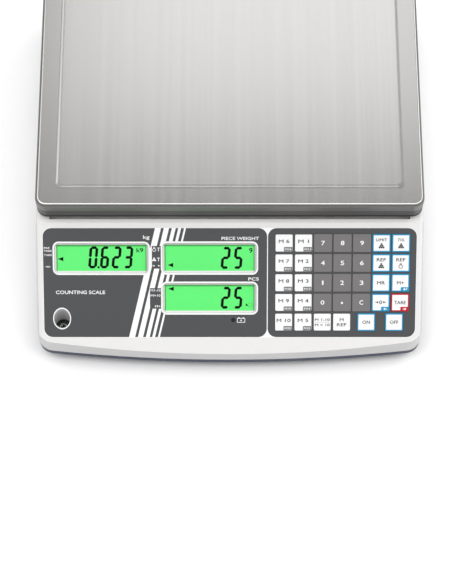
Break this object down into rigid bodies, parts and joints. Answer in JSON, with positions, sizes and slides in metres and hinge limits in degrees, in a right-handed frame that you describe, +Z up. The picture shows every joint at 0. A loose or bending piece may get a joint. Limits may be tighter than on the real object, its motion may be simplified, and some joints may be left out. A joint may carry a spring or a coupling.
{
  "type": "counting scale",
  "caption": "Bench counting scale: white wedge-fronted casing on a navy base, green displays and a keypad on the slope, and a lift-off stainless weighing plate on a load cell.",
  "frame": {"origin": "on the table, under the middle of the casing's bounding box", "axes": "+X to the operator's right, +Y from the operator to the rear, +Z up; the keypad slope faces -Y"},
  "size_m": [0.315, 0.33, 0.1201],
  "materials": {
    "casing_white": "fine satin texture, off-white moulding",
    "casing_navy": "fine satin texture, dark navy moulding",
    "panel_film": "dark grey printed polyester film with white print",
    "display_glass": "backlit green liquid crystal display behind clear glass",
    "circuit_board": "green solder mask with parts",
    "chassis_metal": "zinc plated steel",
    "cell_metal": "milled aluminium",
    "carrier_metal": "as-cast aluminium",
    "fastener_steel": "zinc plated",
    "pad_rubber": "matt black rubber",
    "plate_steel": "brushed along the depth",
    "battery_block": "black battery block",
    "vial_clear": "yellow-green liquid in a clear round vial",
    "socket_plastic": "black moulded socket",
    "foot_rubber": "matt black rubber",
    "foot_plastic": "black moulded thumb wheel",
    "key_memory": "white printed pad with dark legend",
    "key_digit": "mid grey printed pad with white legend",
    "key_function": "white printed pad with a blue border",
    "key_tare_red": "white printed pad with a red border"
  },
  "bodies": {
    "base": {"lower_housing": "casing_navy", "upper_housing": "casing_white", "panel_overlay": "panel_film", "lcd_modules": "display_glass", "display_board": "circuit_board", "main_board": "circuit_board", "chassis_frame": "chassis_metal", "load_cell": "cell_metal", "load_cell_bolts": "fastener_steel", "battery": "battery_block", "level_vial": "vial_clear", "dc_socket": "socket_plastic", "housing_screws": "fastener_steel"},
    "carrier": {"plate_carrier": "carrier_metal", "carrier_bolts": "fastener_steel", "carrier_pads": "pad_rubber"},
    "plate": {"weighing_plate": "plate_steel"},
    "door": {"battery_door": "casing_navy"},
    "sole_front_left": {"foot_sole_front_left": "foot_rubber"},
    "sole_front_right": {"foot_sole_front_right": "foot_rubber"},
    "sole_rear_left": {"foot_sole_rear_left": "foot_rubber"},
    "sole_rear_right": {"foot_sole_rear_right": "foot_rubber"},
    "screw_front_left": {"foot_screw_front_left": "foot_plastic"},
    "screw_front_right": {"foot_screw_front_right": "foot_plastic"},
    "screw_rear_left": {"foot_screw_rear_left": "foot_plastic"},
    "screw_rear_right": {"foot_screw_rear_right": "foot_plastic"},
    "key_m1": {"key_m1": "key_memory"},
    "key_m2": {"key_m2": "key_memory"},
    "key_m3": {"key_m3": "key_memory"},
    "key_m4": {"key_m4": "key_memory"},
    "key_m5": {"key_m5": "key_memory"},
    "key_m6": {"key_m6": "key_memory"},
    "key_m7": {"key_m7": "key_memory"},
    "key_m8": {"key_m8": "key_memory"},
    "key_m9": {"key_m9": "key_memory"},
    "key_m10": {"key_m10": "key_memory"},
    "key_7": {"key_7": "key_digit"},
    "key_8": {"key_8": "key_digit"},
    "key_9": {"key_9": "key_digit"},
    "key_4": {"key_4": "key_digit"},
    "key_5": {"key_5": "key_digit"},
    "key_6": {"key_6": "key_digit"},
    "key_1": {"key_1": "key_digit"},
    "key_2": {"key_2": "key_digit"},
    "key_3": {"key_3": "key_digit"},
    "key_0": {"key_0": "key_digit"},
    "key_point": {"key_point": "key_digit"},
    "key_clear": {"key_clear": "key_digit"},
    "key_limit": {"key_limit": "key_function"},
    "key_tolerance": {"key_tolerance": "key_function"},
    "key_reference_count": {"key_reference_count": "key_function"},
    "key_reference_weight": {"key_reference_weight": "key_function"},
    "key_memory_recall": {"key_memory_recall": "key_function"},
    "key_memory_add": {"key_memory_add": "key_function"},
    "key_zero": {"key_zero": "key_function"},
    "key_tare": {"key_tare": "key_tare_red"},
    "key_memory_bank": {"key_memory_bank": "key_memory"},
    "key_memory_reference": {"key_memory_reference": "key_memory"},
    "key_on": {"key_on": "key_function"},
    "key_off": {"key_off": "key_function"}
  },
  "joints": [
    {"name": "plate_lift", "type": "slide", "parent": "carrier", "child": "plate", "axis": [0, 0, 1], "range_m": [0, 0.04]},
    {"name": "platform_deflection", "type": "slide", "parent": "base", "child": "carrier", "axis": [0, 0, -1], "range_m": [0, 0.0005], "stiffness_N_per_m": 300000, "deforming": ["load_cell"]},
    {"name": "battery_door_slide", "type": "slide", "parent": "base", "child": "door", "axis": [-1, 0, 0], "range_m": [0, 0.085]},
    {"name": "foot_turn_front_left", "type": "hinge", "parent": "sole_front_left", "child": "screw_front_left", "pos_m": [-0.128, -0.112, 0.006], "axis": [0, 0, 1], "range_deg": [-1720, 225]},
    {"name": "foot_turn_front_right", "type": "hinge", "parent": "sole_front_right", "child": "screw_front_right", "pos_m": [0.128, -0.112, 0.006], "axis": [0, 0, 1], "range_deg": [-1720, 225]},
    {"name": "foot_turn_rear_left", "type": "hinge", "parent": "sole_rear_left", "child": "screw_rear_left", "pos_m": [-0.128, 0.138, 0.006], "axis": [0, 0, 1], "range_deg": [-1720, 225]},
    {"name": "foot_turn_rear_right", "type": "hinge", "parent": "sole_rear_right", "child": "screw_rear_right", "pos_m": [0.128, 0.138, 0.006], "axis": [0, 0, 1], "range_deg": [-1720, 225]},
    {"name": "press_tare", "type": "slide", "parent": "base", "child": "key_tare", "axis": [0, 0.5878, -0.809], "range_m": [0, 0.0004], "stiffness_N_per_m": 5000},
    {"name": "press_zero", "type": "slide", "parent": "base", "child": "key_zero", "axis": [0, 0.5878, -0.809], "range_m": [0, 0.0004], "stiffness_N_per_m": 5000},
    {"name": "press_on", "type": "slide", "parent": "base", "child": "key_on", "axis": [0, 0.5878, -0.809], "range_m": [0, 0.0004], "stiffness_N_per_m": 5000},
    {"name": "press_off", "type": "slide", "parent": "base", "child": "key_off", "axis": [0, 0.5878, -0.809], "range_m": [0, 0.0004], "stiffness_N_per_m": 5000},
    {"name": "press_5", "type": "slide", "parent": "base", "child": "key_5", "axis": [0, 0.5878, -0.809], "range_m": [0, 0.0004], "stiffness_N_per_m": 5000},
    {"name": "press_m1", "type": "slide", "parent": "base", "child": "key_m1", "axis": [0, 0.5878, -0.809], "range_m": [0, 0.0004], "stiffness_N_per_m": 5000},
    {"name": "press_m2", "type": "slide", "parent": "base", "child": "key_m2", "axis": [0, 0.5878, -0.809], "range_m": [0, 0.0004], "stiffness_N_per_m": 5000},
    {"name": "press_m3", "type": "slide", "parent": "base", "child": "key_m3", "axis": [0, 0.5878, -0.809], "range_m": [0, 0.0004], "stiffness_N_per_m": 5000},
    {"name": "press_m4", "type": "slide", "parent": "base", "child": "key_m4", "axis": [0, 0.5878, -0.809], "range_m": [0, 0.0004], "stiffness_N_per_m": 5000},
    {"name": "press_m5", "type": "slide", "parent": "base", "child": "key_m5", "axis": [0, 0.5878, -0.809], "range_m": [0, 0.0004], "stiffness_N_per_m": 5000},
    {"name": "press_m6", "type": "slide", "parent": "base", "child": "key_m6", "axis": [0, 0.5878, -0.809], "range_m": [0, 0.0004], "stiffness_N_per_m": 5000},
    {"name": "press_m7", "type": "slide", "parent": "base", "child": "key_m7", "axis": [0, 0.5878, -0.809], "range_m": [0, 0.0004], "stiffness_N_per_m": 5000},
    {"name": "press_m8", "type": "slide", "parent": "base", "child": "key_m8", "axis": [0, 0.5878, -0.809], "range_m": [0, 0.0004], "stiffness_N_per_m": 5000},
    {"name": "press_m9", "type": "slide", "parent": "base", "child": "key_m9", "axis": [0, 0.5878, -0.809], "range_m": [0, 0.0004], "stiffness_N_per_m": 5000},
    {"name": "press_m10", "type": "slide", "parent": "base", "child": "key_m10", "axis": [0, 0.5878, -0.809], "range_m": [0, 0.0004], "stiffness_N_per_m": 5000},
    {"name": "press_7", "type": "slide", "parent": "base", "child": "key_7", "axis": [0, 0.5878, -0.809], "range_m": [0, 0.0004], "stiffness_N_per_m": 5000},
    {"name": "press_8", "type": "slide", "parent": "base", "child": "key_8", "axis": [0, 0.5878, -0.809], "range_m": [0, 0.0004], "stiffness_N_per_m": 5000},
    {"name": "press_9", "type": "slide", "parent": "base", "child": "key_9", "axis": [0, 0.5878, -0.809], "range_m": [0, 0.0004], "stiffness_N_per_m": 5000},
    {"name": "press_4", "type": "slide", "parent": "base", "child": "key_4", "axis": [0, 0.5878, -0.809], "range_m": [0, 0.0004], "stiffness_N_per_m": 5000},
    {"name": "press_6", "type": "slide", "parent": "base", "child": "key_6", "axis": [0, 0.5878, -0.809], "range_m": [0, 0.0004], "stiffness_N_per_m": 5000},
    {"name": "press_1", "type": "slide", "parent": "base", "child": "key_1", "axis": [0, 0.5878, -0.809], "range_m": [0, 0.0004], "stiffness_N_per_m": 5000},
    {"name": "press_2", "type": "slide", "parent": "base", "child": "key_2", "axis": [0, 0.5878, -0.809], "range_m": [0, 0.0004], "stiffness_N_per_m": 5000},
    {"name": "press_3", "type": "slide", "parent": "base", "child": "key_3", "axis": [0, 0.5878, -0.809], "range_m": [0, 0.0004], "stiffness_N_per_m": 5000},
    {"name": "press_0", "type": "slide", "parent": "base", "child": "key_0", "axis": [0, 0.5878, -0.809], "range_m": [0, 0.0004], "stiffness_N_per_m": 5000},
    {"name": "press_point", "type": "slide", "parent": "base", "child": "key_point", "axis": [0, 0.5878, -0.809], "range_m": [0, 0.0004], "stiffness_N_per_m": 5000},
    {"name": "press_clear", "type": "slide", "parent": "base", "child": "key_clear", "axis": [0, 0.5878, -0.809], "range_m": [0, 0.0004], "stiffness_N_per_m": 5000},
    {"name": "press_limit", "type": "slide", "parent": "base", "child": "key_limit", "axis": [0, 0.5878, -0.809], "range_m": [0, 0.0004], "stiffness_N_per_m": 5000},
    {"name": "press_tolerance", "type": "slide", "parent": "base", "child": "key_tolerance", "axis": [0, 0.5878, -0.809], "range_m": [0, 0.0004], "stiffness_N_per_m": 5000},
    {"name": "press_reference_count", "type": "slide", "parent": "base", "child": "key_reference_count", "axis": [0, 0.5878, -0.809], "range_m": [0, 0.0004], "stiffness_N_per_m": 5000},
    {"name": "press_reference_weight", "type": "slide", "parent": "base", "child": "key_reference_weight", "axis": [0, 0.5878, -0.809], "range_m": [0, 0.0004], "stiffness_N_per_m": 5000},
    {"name": "press_memory_recall", "type": "slide", "parent": "base", "child": "key_memory_recall", "axis": [0, 0.5878, -0.809], "range_m": [0, 0.0004], "stiffness_N_per_m": 5000},
    {"name": "press_memory_add", "type": "slide", "parent": "base", "child": "key_memory_add", "axis": [0, 0.5878, -0.809], "range_m": [0, 0.0004], "stiffness_N_per_m": 5000},
    {"name": "press_memory_bank", "type": "slide", "parent": "base", "child": "key_memory_bank", "axis": [0, 0.5878, -0.809], "range_m": [0, 0.0004], "stiffness_N_per_m": 5000},
    {"name": "press_memory_reference", "type": "slide", "parent": "base", "child": "key_memory_reference", "axis": [0, 0.5878, -0.809], "range_m": [0, 0.0004], "stiffness_N_per_m": 5000},
    {"name": "foot_lift_front_left", "type": "slide", "parent": "base", "child": "sole_front_left", "axis": [0, 0, 1], "range_m": [-0.006, 0.0008]},
    {"name": "foot_lift_front_right", "type": "slide", "parent": "base", "child": "sole_front_right", "axis": [0, 0, 1], "range_m": [-0.006, 0.0008]},
    {"name": "foot_lift_rear_left", "type": "slide", "parent": "base", "child": "sole_rear_left", "axis": [0, 0, 1], "range_m": [-0.006, 0.0008]},
    {"name": "foot_lift_rear_right", "type": "slide", "parent": "base", "child": "sole_rear_right", "axis": [0, 0, 1], "range_m": [-0.006, 0.0008]}
  ],
  "couplings": [
    {"joint": "foot_lift_front_left", "follows": "foot_turn_front_left", "m_per_rad": 0.00019894},
    {"joint": "foot_lift_front_right", "follows": "foot_turn_front_right", "m_per_rad": 0.00019894},
    {"joint": "foot_lift_rear_left", "follows": "foot_turn_rear_left", "m_per_rad": 0.00019894},
    {"joint": "foot_lift_rear_right", "follows": "foot_turn_rear_right", "m_per_rad": 0.00019894}
  ]
}
